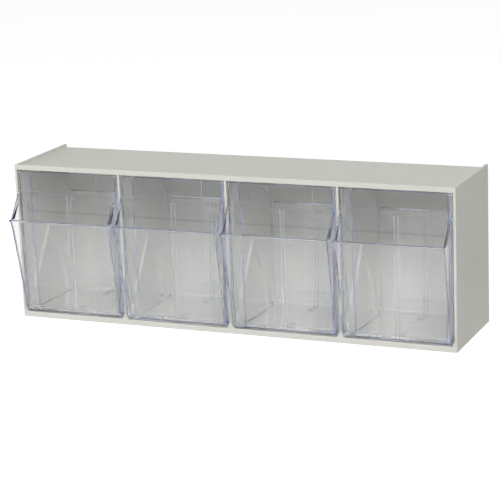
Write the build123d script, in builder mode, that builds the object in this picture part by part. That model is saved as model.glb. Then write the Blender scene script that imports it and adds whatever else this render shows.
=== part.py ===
"""Tilt-out bin unit: a light plastic cabinet of flat mouldings with four clear bins that tip forward.

Millimetres, +Z up, -Y to the front. The origin is under the middle of the whole unit, on the surface it
stands on. Depths named "back" or "depth" are measured from the cabinet's front plane towards the rear.
"""
from build123d import *
import math
import os

os.makedirs("parts", exist_ok=True)

# ---------------------------------------------------------------- cabinet
cabinet_width = 600.0
cabinet_depth = 140.0
cabinet_height = 206.0
bin_count = 4

end_wall = 3.1          # end panels
divider_wall = 3.2      # walls between the compartments
top_wall = 2.2
floor_wall = 3.0
back_wall = 2.8
rim_depth = 3.0         # fascia strip above the bins and sill strip below them
fascia_height = 6.5
sill_height = 6.9
ledge_height = 8.3      # rear ledge that a shut bin rests just above
ledge_depth = 2.5
seat_depth = 1.2        # panel edges seated in the end panels
groove_depth = 1.0      # divider edges seated in the top, floor and back
edge_round = 0.5

# ---------------------------------------------------------------- bins
bin_side_gap = 1.0      # from the top of a bin's wide front to the wall on each side
bin_top_gap = 2.0       # from its top edge to the top panel
bin_rear_gap = 21.7     # from its rear wall, at the floor, to the back panel
bin_sill_gap = 1.6      # from its underside down to the sill's top
wing_depth = 17.0       # depth of the wide front, back from the front plane
wing_jog = 8.6          # how far the body behind it is drawn in on each side
side_draft = 0.9        # degrees that every side wall opens upwards
rear_draft = 4.4        # degrees that the rear wall leans back
bin_wall = 2.0
bin_floor = 2.2
corner_round = 4.0      # upright rear corners, outside
plate_height = 27.1     # upper front plate, down to the facet
plate_back = 0.8        # how far that plate is set back
facet_height = 5.9      # bright sloping facet under the plate, a prism with the upright inner face
wall_lean = 1.0         # the front wall leans forward by this much up to the facet
foot_round = 3.0        # lower front edge, so that it clears the sill
side_top_drop = 7.2     # side walls end on an arc about the hinge, this far under the top panel

lip_reach = 32.5        # the pull lip stands this far in front of the cabinet
lip_drop = 31.4         # from the facet's top down to the lip's
lip_height = 2.4
lip_proud = 3.5         # from the finger pocket's outer wall forward to the lip's edge
pocket_foot = 5.0       # that wall starts this far in front of the cabinet
pocket_foot_rise = 4.5  # height of the slope under it, which clears the sill as the bin tips
pocket_sag = 1.3        # hollow of the wall's curve
ear_reach = 2.5         # level top of the pocket's end walls, in front of the cabinet

pad_inset = 29.8        # from the bin's side to its raised label pad
pad_proud = 1.05
card_margin = 4.7       # from the pad's edge to the card recess
card_depth = 0.6
card_corner = 6.0

rib_gap = 3.5           # slot between each pair of partition ribs
rib_wall = 1.2
rib_proud = 1.5
front_rib_past = 1.5    # the front wall's ribs run this far up past the facet's lower edge
front_floor_rib = 32.0  # floor ribs end here, back from the front plane
rear_floor_rib = 24.0   # length of the floor ribs at the rear
rear_rib_drop = 11.0    # from the lip's top down to the rear wall ribs' ends
floor_step = 0.8        # raised panel in the bin's floor
floor_step_front = 10.0
floor_step_margin = 3.0
gate_disc = 13.0        # moulding gate mark under the floor
ring_outer = 8.0        # ejector ring on the rear wall
ring_wall = 0.7
ring_proud = 0.4
ring_rise = 20.0        # its middle above the bin's floor

# ---------------------------------------------------------------- hinge and stop
hinge_back = 4.0
hinge_above_sill = 5.1
hinge_pin = 5.0
hinge_clearance = 0.08  # all round the pin in its cradle
hinge_end_gap = 0.5     # pin's end to the wall
cradle_mouth = 4.4      # narrower than the pin, which snaps past it
cradle_depth = 8.6
cradle_above = 1.8      # from the hinge line up to the cradle's top
cradle_gap = 0.6        # from its foot to the bin's side
cradle_tip = 0.4        # how far its top stands out of the wall

tilt_open = 51.0        # degrees from shut to the stop
stop_gap = 0.1          # left between stud and rib at the end of travel
stud_diameter = 6.0
stud_rear = 9.5         # from the bin's rear edge to the stud's middle
stud_rise = 0.5         # above the hinge line
stud_wall_gap = 1.5     # stud's end to the wall
rib_slope = 57.3        # stop rib, degrees above level
stop_rib_wall = 2.0
stop_rib_start = 5.8    # along the rib from the hinge
stop_rib_past = 20.0    # how far it runs on past the stud's path
stop_rib_gap = 0.5      # from the rib to the side of the bin's wide front, which it passes
guide_gap = 1.5         # from the stud's path to the arc guide
guide_wall = 1.5
guide_proud = 5.0

bond = 0.4              # how deep a rib or boss is rooted in its own wall

# ---------------------------------------------------------------- worked out from the above
rear = (cabinet_depth + lip_reach) / 2
front = rear - cabinet_depth
inner_half = cabinet_width / 2 - end_wall
compartment = (2 * inner_half - (bin_count - 1) * divider_wall) / bin_count
pitch = compartment + divider_wall
bin_centres = [(i - (bin_count - 1) / 2) * pitch for i in range(bin_count)]
divider_centres = [(i - bin_count / 2) * pitch for i in range(1, bin_count)]
ceiling = cabinet_height - fascia_height
back_inner = rear - back_wall

bin_bottom = sill_height + bin_sill_gap
bin_floor_top = bin_bottom + bin_floor
wall_half = compartment / 2
body_rear = back_inner - bin_rear_gap
plate_top = ceiling - bin_top_gap
facet_top = plate_top - plate_height
facet_low = facet_top - facet_height
front_inner = plate_back + bin_wall
lip_top = facet_top - lip_drop
lip_middle = lip_top - lip_height / 2
lip_depth = lip_proud + bin_wall

hinge_y = front + hinge_back
hinge_height = sill_height + hinge_above_sill
stud_y = body_rear - stud_rear
stud_height = hinge_height + stud_rise
side_top_radius = ceiling - side_top_drop - hinge_height


def place(depth):
    """Row Y of a depth behind the cabinet's front plane."""
    return front + depth


def half_wide(z):
    """Half a bin's outer width across its wide front at height z."""
    return wall_half - bin_side_gap - (plate_top - z) * math.tan(math.radians(side_draft))


# ================================================================ cabinet panels
with BuildPart() as top_panel:
    with BuildSketch(Plane.XY.offset(ceiling)):
        with Locations((0, (place(rim_depth) + rear) / 2)):
            Rectangle(2 * (inner_half + seat_depth), rear - place(rim_depth))
    extrude(amount=top_wall)
    with BuildSketch(Plane.XY.offset(ceiling)):
        with Locations((0, place(rim_depth / 2))):
            Rectangle(2 * inner_half, rim_depth)
    extrude(amount=fascia_height)
    fillet(top_panel.edges().filter_by(Axis.X).group_by(Axis.Z)[-1], edge_round)
    with BuildSketch(Plane.XY.offset(ceiling)):
        with Locations(*[(x, (place(rim_depth) + back_inner + groove_depth) / 2) for x in divider_centres]):
            Rectangle(divider_wall, back_inner + groove_depth - place(rim_depth))
    extrude(amount=groove_depth, mode=Mode.SUBTRACT)
top_panel.part.label = "top_panel"
export_step(top_panel.part, "parts/top_panel.step")

with BuildPart() as bottom_panel:
    with BuildSketch():
        with Locations((0, (place(rim_depth) + rear) / 2)):
            Rectangle(2 * (inner_half + seat_depth), rear - place(rim_depth))
    extrude(amount=floor_wall)
    with BuildSketch():
        with Locations((0, place(rim_depth / 2))):
            Rectangle(2 * inner_half, rim_depth)
    extrude(amount=sill_height)
    with BuildSketch():
        with Locations((0, back_inner - ledge_depth / 2)):
            Rectangle(2 * inner_half, ledge_depth)
    extrude(amount=ledge_height)
    sill_edges = bottom_panel.edges().filter_by(Axis.X).group_by(Axis.Y)[0]
    fillet(sill_edges.group_by(Axis.Z)[-1], edge_round)
    with BuildSketch(Plane.XY.offset(floor_wall)):
        with Locations(*[(x, (place(rim_depth) + back_inner - ledge_depth) / 2) for x in divider_centres]):
            Rectangle(divider_wall, back_inner - ledge_depth - place(rim_depth))
    extrude(amount=-groove_depth, mode=Mode.SUBTRACT)
bottom_panel.part.label = "bottom_panel"
export_step(bottom_panel.part, "parts/bottom_panel.step")

with BuildPart() as back_panel:
    with BuildSketch(Plane.XY.offset(floor_wall)):
        with Locations((0, rear - back_wall / 2)):
            Rectangle(2 * (inner_half + seat_depth), back_wall)
    extrude(amount=ceiling - floor_wall)
    with BuildSketch(Plane.XY.offset(ledge_height)):
        with Locations(*[(x, back_inner + groove_depth / 2) for x in divider_centres]):
            Rectangle(divider_wall, groove_depth)
    extrude(amount=ceiling - ledge_height, mode=Mode.SUBTRACT)
back_panel.part.label = "back_panel"
export_step(back_panel.part, "parts/back_panel.step")

# ================================================================ hinge, stop and guide on a wall's face
slope = math.radians(rib_slope)
stud_radius_path = math.hypot(stud_y - hinge_y, stud_height - hinge_height)
stud_angle = math.degrees(math.atan2(stud_height - hinge_height, stud_y - hinge_y))
stud_drop = stud_radius_path * math.sin(slope - math.radians(stud_angle + tilt_open))
rib_drop = stud_drop - stud_diameter / 2 - stop_gap - stop_rib_wall / 2
rib_origin_y = hinge_y + rib_drop * math.sin(slope)
rib_origin_z = hinge_height - rib_drop * math.cos(slope)
guide_inner = stud_radius_path + stud_diameter / 2 + guide_gap
guide_outer = guide_inner + guide_wall
guide_reach = 2 * guide_outer
stop_rib_end = stud_radius_path + stop_rib_past
rib_wing_z = rib_origin_z + (place(wing_depth) - rib_origin_y) * math.tan(slope)
stop_rib_proud = wall_half - half_wide(rib_wing_z) - stop_rib_gap
rest_top = stud_height - stud_diameter / 2 - stop_gap
cradle_top = hinge_height + cradle_above
cradle_proud = wall_half - half_wide(hinge_height) - cradle_gap
rib_floor_y = rib_origin_y + (floor_wall - rib_origin_z) / math.tan(slope)


def wall_features(face_x, side):
    """Stop rib, arc guide and hinge cradle on the wall face at face_x, standing out towards side (+1 or -1)."""
    rib_plane = Plane(
        origin=(face_x, rib_origin_y, rib_origin_z),
        x_dir=(0, math.cos(slope), math.sin(slope)),
        z_dir=(0, side * math.sin(slope), -side * math.cos(slope)),
    )
    root_x = face_x - side * bond
    with BuildPart() as features:
        # arc guide: a ring about the hinge, kept between the floor and the stop rib's centre line
        with BuildSketch(Plane.YZ.offset(root_x)):
            with Locations((hinge_y, hinge_height)):
                Circle(guide_outer)
                Circle(guide_inner, mode=Mode.SUBTRACT)
            with BuildLine():
                Polyline(
                    (rib_floor_y, floor_wall),
                    (rib_origin_y + guide_reach * math.cos(slope), rib_origin_z + guide_reach * math.sin(slope)),
                    (rib_floor_y + 2 * guide_reach, floor_wall),
                    close=True,
                )
            make_face(mode=Mode.INTERSECT)
        extrude(amount=side * (guide_proud + bond))
        # stop rib, which passes beside the bin's wide front at its foot
        with BuildSketch(rib_plane):
            with Locations(((stop_rib_start + stop_rib_end) / 2, (stop_rib_proud - bond) / 2)):
                Rectangle(stop_rib_end - stop_rib_start, stop_rib_proud + bond)
        extrude(amount=stop_rib_wall / 2, both=True)
        # hinge cradle: a wedge in the lower front corner, behind the sill
        with BuildSketch(Plane.XZ.offset(-front)):
            with BuildLine():
                Polyline(
                    (root_x, floor_wall),
                    (root_x, cradle_top),
                    (face_x + side * cradle_tip, cradle_top),
                    (face_x + side * cradle_proud, sill_height),
                    (face_x + side * cradle_proud, floor_wall),
                    close=True,
                )
            make_face()
        extrude(amount=-cradle_depth)
        with BuildSketch(Plane.YZ.offset(face_x)):
            with Locations((hinge_y, hinge_height)):
                Circle(hinge_pin / 2 + hinge_clearance)
            with Locations((hinge_y, (hinge_height + cradle_top + bond) / 2)):
                Rectangle(cradle_mouth, cradle_top + bond - hinge_height)
        extrude(amount=side * (cradle_proud + bond), mode=Mode.SUBTRACT)
        with BuildSketch():
            with Locations((face_x, place(rim_depth / 2))):
                Rectangle(2 * (cradle_proud + bond), rim_depth)
        extrude(amount=sill_height, mode=Mode.SUBTRACT)
        # rest pad under the stud of a shut bin, at the guide's foot
        with BuildSketch(Plane.YZ.offset(root_x)):
            with Locations((stud_y, floor_wall)):
                Rectangle(stud_diameter, rest_top - floor_wall, align=(Align.CENTER, Align.MIN))
        extrude(amount=side * (guide_proud + bond))
    return features.part


# ================================================================ end panels
for name, outward in (("left_end_panel", -1), ("right_end_panel", 1)):
    inner_face = outward * inner_half
    features = wall_features(inner_face, -outward)
    with BuildPart() as end_panel:
        with BuildSketch():
            with Locations((outward * (inner_half + end_wall / 2), (front + rear) / 2)):
                Rectangle(end_wall, cabinet_depth)
        extrude(amount=cabinet_height)
        outer_edges = end_panel.faces().sort_by(Axis.X)[0 if outward < 0 else -1].edges()
        fillet(outer_edges, edge_round)
        with BuildSketch(Plane.XY.offset(ceiling)):
            with Locations((inner_face, (place(rim_depth) + rear) / 2)):
                Rectangle(2 * seat_depth, rear - place(rim_depth))
        extrude(amount=top_wall, mode=Mode.SUBTRACT)
        with BuildSketch():
            with Locations((inner_face, (place(rim_depth) + rear) / 2)):
                Rectangle(2 * seat_depth, rear - place(rim_depth))
        extrude(amount=floor_wall, mode=Mode.SUBTRACT)
        with BuildSketch(Plane.XY.offset(floor_wall)):
            with Locations((inner_face, rear - back_wall / 2)):
                Rectangle(2 * seat_depth, back_wall)
        extrude(amount=ceiling - floor_wall, mode=Mode.SUBTRACT)
        add(features)
    end_panel.part.label = name
    export_step(end_panel.part, f"parts/{name}.step")

# ================================================================ dividers
for number, centre in enumerate(divider_centres, start=1):
    right_features = wall_features(centre + divider_wall / 2, 1)
    left_features = wall_features(centre - divider_wall / 2, -1)
    with BuildPart() as divider:
        with BuildSketch(Plane.YZ.offset(centre)):
            with BuildLine():
                Polyline(
                    (front, sill_height),
                    (front, ceiling),
                    (place(rim_depth), ceiling),
                    (place(rim_depth), ceiling + groove_depth),
                    (back_inner + groove_depth, ceiling + groove_depth),
                    (back_inner + groove_depth, ledge_height),
                    (back_inner - ledge_depth, ledge_height),
                    (back_inner - ledge_depth, floor_wall - groove_depth),
                    (place(rim_depth), floor_wall - groove_depth),
                    (place(rim_depth), sill_height),
                    close=True,
                )
            make_face()
        extrude(amount=divider_wall / 2, both=True)
        front_edges = divider.faces().sort_by(Axis.Y)[0].edges().filter_by(Axis.Z)
        fillet(front_edges, edge_round)
        add(right_features)
        add(left_features)
    divider.part.label = f"divider_{number}"
    export_step(divider.part, f"parts/divider_{number}.step")

# ================================================================ one clear bin, built on the unit's middle
above = plate_top + bin_wall
before = place(-lip_reach - bin_wall)
pad_half = half_wide(plate_top) - pad_inset
pad_low = facet_top - pad_proud * facet_height / (plate_back + wall_lean)
foot_top = bin_bottom + foot_round


def half_body(z):
    """Half the body's outer width at height z."""
    return half_wide(z) - wing_jog


def rear_body(z):
    """Row Y of the rear wall's outer face at height z."""
    return body_rear + (z - bin_bottom) * math.tan(math.radians(rear_draft))


def body_loft(z_low, z_high, inset, start_y):
    """The body's tapering block between two heights, drawn in by inset."""
    with BuildPart() as block:
        for z in (z_low, z_high):
            with BuildSketch(Plane.XY.offset(z)) as section:
                with Locations((0, (start_y + rear_body(z) - inset) / 2)):
                    Rectangle(2 * (half_body(z) - inset), rear_body(z) - inset - start_y)
                fillet(section.vertices().group_by(Axis.Y)[-1], corner_round - inset)
        loft(ruled=True)
    return block.part


def pocket_arc(inset):
    """Lower end, middle and upper end of the pocket wall's curve, drawn back by inset, as (y, z) points."""
    low = (place(-pocket_foot) + inset, foot_top + pocket_foot_rise + inset / 2)
    high = (place(lip_proud - lip_reach) + inset, lip_middle)
    middle = ((low[0] + high[0]) / 2 + pocket_sag, (low[1] + high[1]) / 2)
    return low, middle, high


def across(profile, inset):
    """A side profile run across the bin up to its drafted sides, drawn in by inset."""
    top_half = half_wide(above) - inset
    low_half = half_wide(bin_bottom) - inset
    with BuildPart() as block:
        extrude(profile, amount=2 * wall_half, both=True)
        with BuildSketch(Plane.XZ.offset(-rear)):
            with BuildLine():
                Polyline(
                    (-top_half, above),
                    (top_half, above),
                    (low_half, bin_bottom),
                    (-low_half, bin_bottom),
                    close=True,
                )
            make_face()
        extrude(amount=2 * rear, mode=Mode.INTERSECT)
    return block.part


# side profiles on the YZ plane, where a sketch's X is the row's Y and its Y is the row's Z
# wide front: foot, front wall, facet and label plate
with BuildSketch(Plane.YZ) as front_profile:
    with BuildLine():
        Polyline(
            (place(0), bin_bottom),
            (place(-wall_lean), facet_low),
            (place(plate_back), facet_top),
            (place(plate_back), plate_top),
            (place(wing_depth), plate_top),
            (place(wing_depth), bin_bottom),
            close=True,
        )
    make_face()
    fillet(front_profile.vertices().group_by(Axis.Y)[0].sort_by(Axis.X)[0], foot_round)

# finger pocket in front of it, solid: sloping foot, curved outer wall, ends with level ears
pocket_low, pocket_mid, pocket_high = pocket_arc(0)
with BuildSketch(Plane.YZ) as pocket_profile:
    with BuildLine():
        ThreePointArc(pocket_low, pocket_mid, pocket_high)
        Polyline(
            pocket_high,
            (pocket_high[0], lip_top),
            (pocket_high[0] + bin_wall, lip_top),
            (place(-ear_reach), facet_top),
            (place(front_inner), facet_top),
            (place(front_inner), foot_top),
            (place(0), foot_top),
            pocket_low,
        )
    make_face()

# the pocket's hollow, open at the top, up to the front wall
inner_low, inner_mid, inner_high = pocket_arc(bin_wall)
with BuildSketch(Plane.YZ) as pocket_hollow:
    with BuildLine():
        ThreePointArc(inner_low, inner_mid, inner_high)
        Polyline(
            inner_high,
            (before, lip_middle),
            (before, above),
            (place(wing_depth), above),
            (place(wing_depth), inner_low[1]),
            inner_low,
        )
    make_face()
    with BuildLine():
        Polyline(
            (place(0), bin_bottom),
            (place(-wall_lean), facet_low),
            (place(plate_back), facet_top),
            (place(plate_back), above),
            (place(wing_depth), above),
            (place(wing_depth), bin_bottom),
            close=True,
        )
    make_face(mode=Mode.SUBTRACT)

# pull lip along the pocket wall's top
with BuildSketch(Plane.YZ) as lip_profile:
    with Locations((place(lip_depth / 2 - lip_reach), lip_middle)):
        RectangleRounded(lip_depth, lip_height, 0.45 * lip_height)

# hollow of the wide front
with BuildSketch(Plane.YZ) as front_hollow:
    with Locations((place(front_inner), bin_floor_top)):
        Rectangle(wing_depth - bin_wall - front_inner, above - bin_floor_top, align=(Align.MIN, Align.MIN))

wide_front = across(front_profile.sketch, 0)
pocket_block = across(pocket_profile.sketch, 0)
pocket_room = across(pocket_hollow.sketch, bin_wall)
pull_lip = across(lip_profile.sketch, 0)
front_room = across(front_hollow.sketch, bin_wall)
body_outer = body_loft(bin_bottom, plate_top, 0, place(wing_depth - bin_wall))
body_inner = body_loft(bin_floor_top, above, bin_wall, place(wing_depth - 2 * bin_wall))

with BuildPart() as bin_shell:
    # wide front with rounded rear uprights, the body behind it and the finger pocket before it
    add(wide_front)
    rear_edges = bin_shell.edges().group_by(Axis.Y)[-1].sort_by(Axis.X)
    fillet((rear_edges[0], rear_edges[-1]), corner_round)
    add(body_outer)
    add(pocket_block)
    add(pocket_room, mode=Mode.SUBTRACT)
    add(pull_lip)

    # the wide front and the body open into each other
    add(front_room, mode=Mode.SUBTRACT)
    add(body_inner, mode=Mode.SUBTRACT)

    # side and rear walls end on an arc about the hinge
    with BuildSketch(Plane.YZ):
        with Locations((place(wing_depth), hinge_height)):
            Rectangle(cabinet_depth, 2 * side_top_radius, align=(Align.MIN, Align.MIN))
        with Locations((hinge_y, hinge_height)):
            Circle(side_top_radius, mode=Mode.SUBTRACT)
    extrude(amount=wall_half, both=True, mode=Mode.SUBTRACT)

    # raised panel in the floor, hollow underneath, with the gate's disc on its underside
    step_half = half_body(bin_bottom) - bin_wall
    step_front = place(floor_step_front)
    step_rear = rear_body(bin_bottom) - floor_step_margin
    with BuildSketch(Plane.XY.offset(bin_floor_top)):
        with Locations((0, (step_front + step_rear) / 2)):
            RectangleRounded(2 * step_half, step_rear - step_front, corner_round)
    extrude(amount=floor_step)
    with BuildSketch(Plane.XY.offset(bin_bottom)):
        with Locations((0, (step_front + step_rear) / 2)):
            RectangleRounded(2 * step_half, step_rear - step_front, corner_round)
            Circle(gate_disc / 2, mode=Mode.SUBTRACT)
    extrude(amount=floor_step, mode=Mode.SUBTRACT)

    # ejector ring on the rear wall's outside
    ring_z = bin_floor_top + ring_rise
    ring_plane = Plane(
        origin=(0, rear_body(ring_z) - bin_wall / 2, ring_z),
        x_dir=(1, 0, 0),
        z_dir=(0, math.cos(math.radians(rear_draft)), -math.sin(math.radians(rear_draft))),
    )
    with BuildSketch(ring_plane):
        Circle(ring_outer / 2)
        Circle(ring_outer / 2 - ring_wall, mode=Mode.SUBTRACT)
    extrude(amount=bin_wall / 2 + ring_proud)

    # ribs in pairs that hold a partition: front wall, floor and rear wall
    rib_pitch = rib_gap + rib_wall
    rib_top = bin_floor_top + floor_step + rib_proud
    wall_rib_top = lip_top - rear_rib_drop
    for x in (-rib_pitch / 2, rib_pitch / 2):
        with BuildSketch(Plane.YZ.offset(x)):
            with BuildLine():
                Polyline(
                    (place(front_inner - bond), bin_floor_top),
                    (place(front_inner - bond), facet_low + front_rib_past),
                    (place(front_inner + rib_proud), facet_low + front_rib_past),
                    (place(front_inner + rib_proud), rib_top),
                    (place(front_floor_rib), rib_top),
                    (place(front_floor_rib), bin_floor_top),
                    close=True,
                )
            make_face()
            with BuildLine():
                Polyline(
                    (rear_body(bin_floor_top) - bin_wall / 2, bin_floor_top),
                    (rear_body(wall_rib_top) - bin_wall / 2, wall_rib_top),
                    (rear_body(wall_rib_top) - bin_wall - rib_proud, wall_rib_top),
                    (rear_body(rib_top) - bin_wall - rib_proud, rib_top),
                    (rear_body(rib_top) - bin_wall - rear_floor_rib, rib_top),
                    (rear_body(rib_top) - bin_wall - rear_floor_rib, bin_floor_top),
                    close=True,
                )
            make_face()
        extrude(amount=rib_wall / 2, both=True)

    # label pad with its card recess, open at the top
    with BuildSketch(Plane.XZ.offset(-place(plate_back - pad_proud))):
        with Locations((0, pad_low)):
            Rectangle(2 * pad_half, plate_top - pad_low, align=(Align.CENTER, Align.MIN))
    extrude(amount=-(pad_proud + bin_wall / 2))
    with BuildSketch(Plane.XZ.offset(-place(plate_back - pad_proud))) as card_recess:
        with Locations((0, pad_low + card_margin)):
            Rectangle(2 * (pad_half - card_margin), plate_top - pad_low, align=(Align.CENTER, Align.MIN))
        fillet(card_recess.vertices().group_by(Axis.Y)[0], card_corner)
    extrude(amount=-card_depth, mode=Mode.SUBTRACT)

    # hinge pins and stop studs on both sides
    pin_root = half_wide(hinge_height) - bin_wall / 2
    stud_root = half_body(stud_height) - bin_wall / 2
    for side in (-1, 1):
        with BuildSketch(Plane.YZ.offset(side * pin_root)):
            with Locations((hinge_y, hinge_height)):
                Circle(hinge_pin / 2)
        extrude(amount=side * (wall_half - hinge_end_gap - pin_root))
        with BuildSketch(Plane.YZ.offset(side * stud_root)):
            with Locations((stud_y, stud_height)):
                Circle(stud_diameter / 2)
        extrude(amount=side * (wall_half - stud_wall_gap - stud_root))

for number, centre in enumerate(bin_centres, start=1):
    with BuildPart() as tilt_bin:
        with Locations((centre, 0, 0)):
            add(bin_shell.part)
    tilt_bin.part.label = f"bin_{number}"
    export_step(tilt_bin.part, f"parts/bin_{number}.step")
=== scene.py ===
"""Looks of the tilt-out bin unit: satin styrene cabinet, clear styrene bins, studio and camera.

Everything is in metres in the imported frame: +Z up, -Y to the front, the origin on the standing
surface.
"""
from __future__ import annotations

import logging
import math
from dataclasses import dataclass, field
from enum import Enum
from typing import Any

import bmesh
import bpy
from mathutils import Matrix, Vector

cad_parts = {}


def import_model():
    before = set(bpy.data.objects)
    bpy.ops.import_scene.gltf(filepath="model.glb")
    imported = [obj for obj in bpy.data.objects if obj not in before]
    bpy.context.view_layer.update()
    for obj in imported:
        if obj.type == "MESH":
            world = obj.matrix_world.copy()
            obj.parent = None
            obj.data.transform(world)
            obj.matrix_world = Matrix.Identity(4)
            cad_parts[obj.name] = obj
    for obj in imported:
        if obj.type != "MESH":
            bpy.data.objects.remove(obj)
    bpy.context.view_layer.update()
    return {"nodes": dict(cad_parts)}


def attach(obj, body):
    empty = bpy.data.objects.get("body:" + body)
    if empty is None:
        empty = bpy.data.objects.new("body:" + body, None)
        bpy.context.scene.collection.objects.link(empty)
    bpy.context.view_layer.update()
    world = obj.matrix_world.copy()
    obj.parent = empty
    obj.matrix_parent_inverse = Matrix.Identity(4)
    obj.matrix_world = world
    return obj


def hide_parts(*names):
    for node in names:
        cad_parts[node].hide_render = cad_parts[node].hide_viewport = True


LOG = logging.getLogger("tilt_bins")
MM = 0.001                          # one millimetre, in metres
WORLD_UP = Vector((0, 0, 1))
UNIT_MIDDLE = (0.0, 0.0, 0.1)       # what the lights are aimed at
BIN_NUMBERS = (1, 2, 3, 4)          # from the left

STYRENE_IOR = 1.59
BYTE_MAX = 255
SRGB_KNEE = 0.04045                 # below this the sRGB curve is a straight line
SRGB_SLOPE = 12.92
SRGB_OFFSET = 0.055
SRGB_POWER = 2.4


# ------------------------------------------------------------------ shader helpers


def linear_rgba(hex_colour: str) -> tuple[float, float, float, float]:
    """Turns an sRGB hex colour into Blender's linear values.

    Args:
        hex_colour: Six hex digits, such as "dfe0da".

    Returns:
        Linear red, green and blue, with alpha 1.
    """
    channels = (int(hex_colour[i : i + 2], 16) / BYTE_MAX for i in (0, 2, 4))
    red, green, blue = (
        c / SRGB_SLOPE if c <= SRGB_KNEE else ((c + SRGB_OFFSET) / (1 + SRGB_OFFSET)) ** SRGB_POWER
        for c in channels
    )
    return red, green, blue, 1.0


def add_node(
    tree: bpy.types.NodeTree,
    kind: str,
    settings: dict[str, Any] | None = None,
    inputs: dict[str | int, Any] | None = None,
) -> bpy.types.Node:
    """Adds one node, sets it up and links what feeds it.

    Args:
        tree: The node tree that gets the node.
        kind: Blender's name of the node type.
        settings: The node's own properties, such as its operation.
        inputs: Value of each input, by name or number. An output socket is linked instead.

    Returns:
        The new node.
    """
    node = tree.nodes.new(kind)
    for name, value in (settings or {}).items():
        setattr(node, name, value)
    for key, value in (inputs or {}).items():
        if isinstance(value, bpy.types.NodeSocket):
            tree.links.new(value, node.inputs[key])
        else:
            node.inputs[key].default_value = value
    return node


def plain_sight(tree: bpy.types.NodeTree) -> bpy.types.NodeSocket:
    """Adds the nodes that tell whether a surface is seen: directly, mirrored or through plastic.

    A ray that has left a matt surface doesn't count, even where it crosses clear plastic
    afterwards, so that the clear bins let in no more light than there is around them.

    Args:
        tree: The node tree that gets the nodes.

    Returns:
        The socket, 1 where the surface is seen and 0 where it only gives light.
    """
    before_first_matt_bounce = 0.5
    rays = add_node(tree, "ShaderNodeLightPath")
    seen = rays.outputs["Is Camera Ray"]
    for kind in ("Is Glossy Ray", "Is Transmission Ray"):
        either = add_node(
            tree, "ShaderNodeMath", {"operation": "MAXIMUM"}, {0: seen, 1: rays.outputs[kind]}
        )
        seen = either.outputs[0]
    sharp = add_node(
        tree,
        "ShaderNodeMath",
        {"operation": "LESS_THAN"},
        {0: rays.outputs["Diffuse Depth"], 1: before_first_matt_bounce},
    )
    both = add_node(
        tree, "ShaderNodeMath", {"operation": "MULTIPLY"}, {0: seen, 1: sharp.outputs[0]}
    )
    return both.outputs[0]


@dataclass(frozen=True)
class Pattern:
    """A noise pattern given by its real size."""

    size_mm: float
    detail: float
    blend: float = 0.5

    def inputs(self, place: bpy.types.NodeSocket) -> dict[str, Any]:
        """Works out a noise texture's inputs.

        Args:
            place: The socket with the place on the piece, in metres.

        Returns:
            The inputs by name.
        """
        return {
            "Vector": place,
            "Scale": 1 / (self.size_mm * MM),
            "Detail": self.detail,
            "Roughness": self.blend,
        }


@dataclass(frozen=True)
class Relief:
    """How strongly and how deeply a pattern stands out of a surface."""

    strength: float
    depth_mm: float

    def inputs(self, height: bpy.types.NodeSocket) -> dict[str, Any]:
        """Works out a bump's inputs.

        Args:
            height: The socket with the pattern.

        Returns:
            The inputs by name.
        """
        return {"Strength": self.strength, "Distance": self.depth_mm * MM, "Height": height}


@dataclass(frozen=True)
class GlossRange:
    """How far a pattern changes a surface's roughness, between two levels of the pattern."""

    pattern_low: float
    pattern_high: float
    less: float
    more: float

    def inputs(self, pattern: bpy.types.NodeSocket, rough: float) -> dict[str, Any]:
        """Works out a map range's inputs.

        Args:
            pattern: The socket with the pattern.
            rough: The surface's typical roughness.

        Returns:
            The inputs by name.
        """
        return {
            "Value": pattern,
            "From Min": self.pattern_low,
            "From Max": self.pattern_high,
            "To Min": rough - self.less,
            "To Max": rough + self.more,
        }


class Finish:
    """Base of the finishes: makes a material once and hands it out."""

    name: str

    def material(self) -> bpy.types.Material:
        """Finds this finish's material, or makes it at first use.

        Returns:
            The material.
        """
        found = bpy.data.materials.get(self.name)
        if found is not None:
            return found
        made = bpy.data.materials.new(self.name)
        made.use_nodes = True
        made.node_tree.nodes.clear()
        self.wire(made.node_tree)
        return made

    def wire(self, tree: bpy.types.NodeTree) -> None:
        """Fills the material's node tree.

        Args:
            tree: The empty tree.
        """
        raise NotImplementedError

    def dress(self, piece: bpy.types.Object) -> None:
        """Gives a piece this finish in all its material slots.

        Args:
            piece: The mesh object.
        """
        piece.data.materials.clear()
        piece.data.materials.append(self.material())


# ------------------------------------------------------------------ finishes


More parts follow.
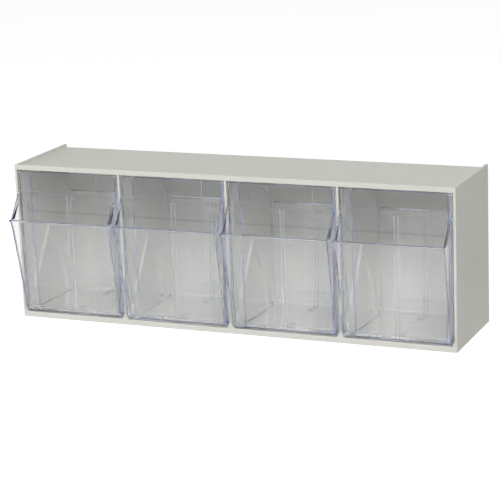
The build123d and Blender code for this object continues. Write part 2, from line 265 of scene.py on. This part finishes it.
@dataclass(frozen=True)
class SatinStyrene(Finish):
    """High-impact polystyrene, injection moulded in a spark-eroded tool.

    The eye sees a warm grey-white, milky and even, with a soft satin sheen. The eroded texture is
    a fine matt grit. Broad flow and shrink marks move the highlights a little over the large flat
    walls.
    """

    name: str = "satin_styrene"
    body: str = "e3e3db"
    thin: str = "dbdbd2"
    rough: float = 0.42
    flow: Pattern = Pattern(size_mm=70.0, detail=2.0, blend=0.45)
    # real grit is 0.05 mm, drawn coarser so that it shows
    grit: Pattern = Pattern(size_mm=0.9, detail=1.0)
    scuff: Pattern = Pattern(size_mm=14.0, detail=4.0, blend=0.65)
    gloss: GlossRange = GlossRange(pattern_low=0.3, pattern_high=0.7, less=0.05, more=0.08)
    wave: Relief = Relief(strength=0.25, depth_mm=0.6)
    grain: Relief = Relief(strength=0.18, depth_mm=0.05)

    def wire(self, tree: bpy.types.NodeTree) -> None:
        """Wires colour, gloss and bump for the moulded wall.

        Args:
            tree: The empty tree.
        """
        place = add_node(tree, "ShaderNodeTexCoord").outputs["Object"]
        flow, grit, scuff = (
            add_node(tree, "ShaderNodeTexNoise", inputs=pattern.inputs(place)).outputs["Fac"]
            for pattern in (self.flow, self.grit, self.scuff)
        )
        colour = add_node(
            tree,
            "ShaderNodeMix",
            {"data_type": "RGBA"},
            {0: flow, 6: linear_rgba(self.body), 7: linear_rgba(self.thin)},
        )
        gloss = add_node(tree, "ShaderNodeMapRange", inputs=self.gloss.inputs(scuff, self.rough))
        wave = add_node(tree, "ShaderNodeBump", inputs=self.wave.inputs(flow))
        grain = add_node(
            tree,
            "ShaderNodeBump",
            inputs={**self.grain.inputs(grit), "Normal": wave.outputs["Normal"]},
        )
        shader = add_node(
            tree,
            "ShaderNodeBsdfPrincipled",
            inputs={
                "Base Color": colour.outputs[2],
                "Roughness": gloss.outputs["Result"],
                "IOR": STYRENE_IOR,
                "Normal": grain.outputs["Normal"],
            },
        )
        add_node(tree, "ShaderNodeOutputMaterial", inputs={"Surface": shader.outputs["BSDF"]})


@dataclass(frozen=True)
class ClearStyrene(Finish):
    """Crystal polystyrene, injection moulded in a polished tool.

    The eye sees through the flat walls almost without loss. Light that runs along inside a wall
    comes out at its edges, and there the resin's violet-blue toner shows as fine blue lines.
    Faint waves from moulding and light handling haze keep the surface from looking like optical
    glass.
    """

    name: str = "clear_styrene"
    surface: str = "ffffff"
    toner: str = "7894e8"
    toner_density: float = 5.5
    rough: float = 0.012
    wave: Pattern = Pattern(size_mm=26.0, detail=1.0, blend=0.4)
    haze: Pattern = Pattern(size_mm=9.0, detail=5.0, blend=0.7)
    gloss: GlossRange = GlossRange(pattern_low=0.45, pattern_high=0.8, less=0.0, more=0.05)
    ripple: Relief = Relief(strength=0.1, depth_mm=0.03)

    def wire(self, tree: bpy.types.NodeTree) -> None:
        """Wires the clear surface and the tinted inside.

        Args:
            tree: The empty tree.
        """
        place = add_node(tree, "ShaderNodeTexCoord").outputs["Object"]
        wave, haze = (
            add_node(tree, "ShaderNodeTexNoise", inputs=pattern.inputs(place)).outputs["Fac"]
            for pattern in (self.wave, self.haze)
        )
        gloss = add_node(tree, "ShaderNodeMapRange", inputs=self.gloss.inputs(haze, self.rough))
        ripple = add_node(tree, "ShaderNodeBump", inputs=self.ripple.inputs(wave))
        shader = add_node(
            tree,
            "ShaderNodeBsdfPrincipled",
            inputs={
                "Base Color": linear_rgba(self.surface),
                "Roughness": gloss.outputs["Result"],
                "IOR": STYRENE_IOR,
                "Transmission Weight": 1.0,
                "Normal": ripple.outputs["Normal"],
            },
        )
        inside = add_node(
            tree,
            "ShaderNodeVolumeAbsorption",
            inputs={"Color": linear_rgba(self.toner), "Density": self.toner_density},
        )
        add_node(
            tree,
            "ShaderNodeOutputMaterial",
            inputs={"Surface": shader.outputs["BSDF"], "Volume": inside.outputs["Volume"]},
        )


@dataclass(frozen=True)
class StudioPaper(Finish):
    """Seamless white background paper, matt.

    The eye sees plain white with the object's soft shadow. The sheet itself is a mid grey, so
    that it throws little light back onto the object, and the lift makes it white where it is
    seen.
    """

    name: str = "studio_paper"
    sheet: str = "a0a09e"
    lift: float = 0.85

    def wire(self, tree: bpy.types.NodeTree) -> None:
        """Wires matt paper that is white where it is seen directly, mirrored or through plastic.

        Args:
            tree: The empty tree.
        """
        colour = linear_rgba(self.sheet)
        paper = add_node(tree, "ShaderNodeBsdfDiffuse", inputs={"Color": colour})
        glow = add_node(tree, "ShaderNodeEmission", inputs={"Strength": self.lift})
        bright = add_node(
            tree,
            "ShaderNodeAddShader",
            inputs={0: paper.outputs["BSDF"], 1: glow.outputs["Emission"]},
        )
        mixed = add_node(
            tree,
            "ShaderNodeMixShader",
            inputs={0: plain_sight(tree), 1: paper.outputs["BSDF"], 2: bright.outputs["Shader"]},
        )
        add_node(tree, "ShaderNodeOutputMaterial", inputs={"Surface": mixed.outputs["Shader"]})


# ------------------------------------------------------------------ the object


@dataclass(frozen=True)
class MouldRounding:
    """The small rounding that a moulding tool leaves on a solid's sharp edges.

    Attributes:
        radius: Radius of the rounding, in metres.
        segments: Faces across a rounding.
        crease: An edge that bends more than this is rounded, in radians.
        slight: A long edge across the bin is rounded from this bend on, so that a shallow facet
            stays flat, in radians.
        run: Length across the bin from which an edge counts as long, in metres.
        weld: Points nearer to each other than this are one, in metres.
        flat: Faces that bend less than this are one wall, in radians.
        large_faces: How much more the large faces count in the shading normals, up to 100.
    """

    radius: float = 0.25 * MM
    segments: int = 2
    crease: float = math.radians(70)
    slight: float = math.radians(15.5)
    run: float = 10 * MM
    weld: float = 0.001 * MM
    flat: float = math.radians(0.2)
    large_faces: int = 80

    def mark(self, work: bmesh.types.BMesh) -> None:
        """Gives the edges that are rounded a full weight, and the others none.

        Args:
            work: The solid's mesh.
        """
        weight = work.edges.layers.float.new("bevel_weight_edge")
        for edge in work.edges:
            if len(edge.link_faces) == 2:
                bend = edge.calc_face_angle()
                span = abs(edge.verts[0].co.x - edge.verts[1].co.x)
                long_and_slight = bend > self.slight and span > self.run
                edge[weight] = float(bend > self.crease or long_and_slight)

    def rounded_copy(self, source: bpy.types.Object, name: str) -> bpy.types.Object:
        """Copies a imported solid's mesh and rounds its edges.

        Args:
            source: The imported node's object, which stays as it is.
            name: Name of the new piece.

        Returns:
            The new object, at rest in the row frame.
        """
        mesh = bpy.data.meshes.new(name)
        work = bmesh.new()
        work.from_mesh(source.data)
        bmesh.ops.remove_doubles(work, verts=work.verts, dist=self.weld)
        bmesh.ops.dissolve_limit(work, angle_limit=self.flat, verts=work.verts, edges=work.edges)
        self.mark(work)
        work.to_mesh(mesh)
        work.free()
        mesh.polygons.foreach_set("use_smooth", [True] * len(mesh.polygons))
        piece = bpy.data.objects.new(name, mesh)
        bpy.context.scene.collection.objects.link(piece)
        rounding = piece.modifiers.new("rounding", "BEVEL")
        rounding.limit_method = "WEIGHT"
        rounding.width = self.radius
        rounding.segments = self.segments
        # clamping would shrink every rounding to fit the shortest edge of the mesh
        rounding.use_clamp_overlap = False
        rounding.miter_outer = "MITER_ARC"
        normals = piece.modifiers.new("flat_walls", "WEIGHTED_NORMAL")
        normals.keep_sharp = False
        normals.weight = self.large_faces
        return piece


class CabinetPanel(Enum):
    """The cabinet's flat mouldings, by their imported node."""

    LEFT_END = "left_end_panel"
    RIGHT_END = "right_end_panel"
    TOP = "top_panel"
    BOTTOM = "bottom_panel"
    BACK = "back_panel"
    DIVIDER_1 = "divider_1"
    DIVIDER_2 = "divider_2"
    DIVIDER_3 = "divider_3"


@dataclass
class Cabinet:
    """The fixed shell: ends, top, bottom, back and dividers, all in satin styrene."""

    nodes: dict[str, bpy.types.Object]
    finish: SatinStyrene = field(default_factory=SatinStyrene)

    def dress(self) -> list[bpy.types.Object]:
        """Gives every panel its finish.

        Returns:
            The panels' objects.
        """
        pieces = [self.nodes[panel.value] for panel in CabinetPanel]
        for piece in pieces:
            self.finish.dress(piece)
        return pieces


@dataclass
class TiltBin:
    """One clear bin with its pocket, lip, label pad, partition ribs and hinge pins."""

    nodes: dict[str, bpy.types.Object]
    number: int
    slot: str = "clear_plastic"
    rounding: MouldRounding = field(default_factory=MouldRounding)
    finish: ClearStyrene = field(default_factory=ClearStyrene)

    @property
    def node(self) -> str:
        """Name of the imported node."""
        return f"bin_{self.number}"

    @property
    def body(self) -> str:
        """Name of the moving body."""
        return f"tilt_bin_{self.number}"

    def build(self) -> bpy.types.Object:
        """Makes the bin's visible moulding and lets it ride on its body.

        Returns:
            The new piece.
        """
        piece = self.rounding.rounded_copy(self.nodes[self.node], f"clear_bin_{self.number}")
        self.finish.dress(piece)
        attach(piece, self.body)
        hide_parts(self.node)
        return piece


# ------------------------------------------------------------------ studio and camera


@dataclass
class SoftBox:
    """A flat studio light aimed at the middle of the unit. Its place and sides are in metres."""

    name: str
    place: tuple[float, float, float]
    width: float
    height: float
    watts: float

    def build(self) -> bpy.types.Object:
        """Makes the light.

        Returns:
            The light's object.
        """
        lamp = bpy.data.lights.new(self.name, "AREA")
        lamp.shape = "RECTANGLE"
        lamp.size = self.width
        lamp.size_y = self.height
        lamp.energy = self.watts
        box = bpy.data.objects.new(self.name, lamp)
        bpy.context.scene.collection.objects.link(box)
        box.location = self.place
        towards = Vector(UNIT_MIDDLE) - Vector(self.place)
        box.rotation_mode = "QUATERNION"
        box.rotation_quaternion = towards.to_track_quat("-Z", "Y")
        return box


@dataclass
class Studio:
    """Pale floor, soft lights and an even white surround."""

    floor_half: float = 6.0
    floor_drop: float = 0.2 * MM        # keeps the sheet clear of the unit's underside
    ambient: float = 0.27
    paper: StudioPaper = field(default_factory=StudioPaper)
    lights: tuple[SoftBox, ...] = (
        SoftBox("key_softbox", (1.95, -3.8, 3.65), width=3.6, height=2.0, watts=200.0),
        SoftBox("fill_softbox", (-3.7, -2.6, 0.75), width=2.6, height=1.2, watts=78.0),
    )

    def build_floor(self) -> bpy.types.Object:
        """Makes the paper floor.

        Returns:
            The floor's object.
        """
        mesh = bpy.data.meshes.new("paper_floor")
        work = bmesh.new()
        bmesh.ops.create_grid(work, x_segments=1, y_segments=1, size=self.floor_half)
        work.to_mesh(mesh)
        work.free()
        floor = bpy.data.objects.new("paper_floor", mesh)
        floor.location.z = -self.floor_drop
        bpy.context.scene.collection.objects.link(floor)
        self.paper.dress(floor)
        return floor

    def build_surround(self) -> bpy.types.World:
        """Makes the world: white where it is seen or mirrored, a plain ambient level otherwise.

        Returns:
            The world.
        """
        world = bpy.data.worlds.new("studio_surround")
        world.use_nodes = True
        tree = world.node_tree
        tree.nodes.clear()
        level = add_node(
            tree,
            "ShaderNodeMapRange",
            inputs={"Value": plain_sight(tree), "To Min": self.ambient, "To Max": 1.0},
        )
        shade = add_node(
            tree, "ShaderNodeBackground", inputs={"Strength": level.outputs["Result"]}
        )
        add_node(tree, "ShaderNodeOutputWorld", inputs={"Surface": shade.outputs["Background"]})
        bpy.context.scene.world = world
        return world

    def build(self) -> None:
        """Makes the floor, the surround and the lights."""
        self.build_floor()
        self.build_surround()
        for light in self.lights:
            light.build()


@dataclass
class ProductCamera:
    """A long lens at the front right, a little above the unit, as a catalogue shot is taken.

    Its place and reach are in metres, its angles in degrees, and its lens and sensor in
    millimetres.
    """

    place: tuple[float, float, float] = (0.96682, -2.23249, 0.71916)
    azimuth: float = 23.25
    elevation: float = 14.36
    roll: float = -2.19
    lens: float = 140.39
    sensor: float = 36.0
    nearest: float = 0.05
    farthest: float = 50.0

    def axes(self) -> Matrix:
        """Works out how the camera is turned.

        Returns:
            The camera's right, up and backward directions as the columns of a matrix.
        """
        azimuth, elevation, roll = (
            math.radians(angle) for angle in (self.azimuth, self.elevation, self.roll)
        )
        back = Vector(
            (
                math.sin(azimuth) * math.cos(elevation),
                -math.cos(azimuth) * math.cos(elevation),
                math.sin(elevation),
            )
        )
        level_right = (-back).cross(WORLD_UP).normalized()
        level_up = level_right.cross(-back)
        right = level_right * math.cos(roll) + level_up * math.sin(roll)
        up = level_up * math.cos(roll) - level_right * math.sin(roll)
        return Matrix((right, up, back)).transposed()

    def build(self) -> bpy.types.Object:
        """Makes the camera and sets it as the scene's.

        Returns:
            The camera's object.
        """
        data = bpy.data.cameras.new("product_camera")
        data.lens = self.lens
        data.sensor_width = self.sensor
        data.clip_start = self.nearest
        data.clip_end = self.farthest
        camera = bpy.data.objects.new("product_camera", data)
        bpy.context.scene.collection.objects.link(camera)
        camera.matrix_world = Matrix.Translation(self.place) @ self.axes().to_4x4()
        bpy.context.scene.camera = camera
        return camera


@dataclass(frozen=True)
class LightPaths:
    """How far light is followed through the clear bins.

    Light that runs along inside a clear wall is thrown back from face to face many times. Blurring
    the clear walls after a matt bounce would lose the light that they let in.
    """

    bounces: int = 160
    clear_bounces: int = 96
    blur: float = 0.0

    def apply(self, scene: bpy.types.Scene) -> None:
        """Sets the scene's light paths.

        Args:
            scene: The scene that is rendered.
        """
        scene.cycles.max_bounces = self.bounces
        scene.cycles.glossy_bounces = self.clear_bounces
        scene.cycles.transmission_bounces = self.clear_bounces
        scene.cycles.blur_glossy = self.blur


def main() -> None:
    """Loads the frame, dresses it, builds the studio and reports each piece."""
    logging.basicConfig(level=logging.INFO, format="%(name)s: %(message)s")
    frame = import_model()
    scene = bpy.context.scene
    scene.view_settings.view_transform = "Standard"
    LightPaths().apply(scene)

    ProductCamera().build()
    for panel in Cabinet(frame["nodes"]).dress():
        LOG.info("%s dressed", panel.name)
    for number in BIN_NUMBERS:
        piece = TiltBin(frame["nodes"], number).build()
        LOG.info("%s built, %d faces", piece.name, len(piece.data.polygons))
    Studio().build()


if __name__ == "__main__":
    main()
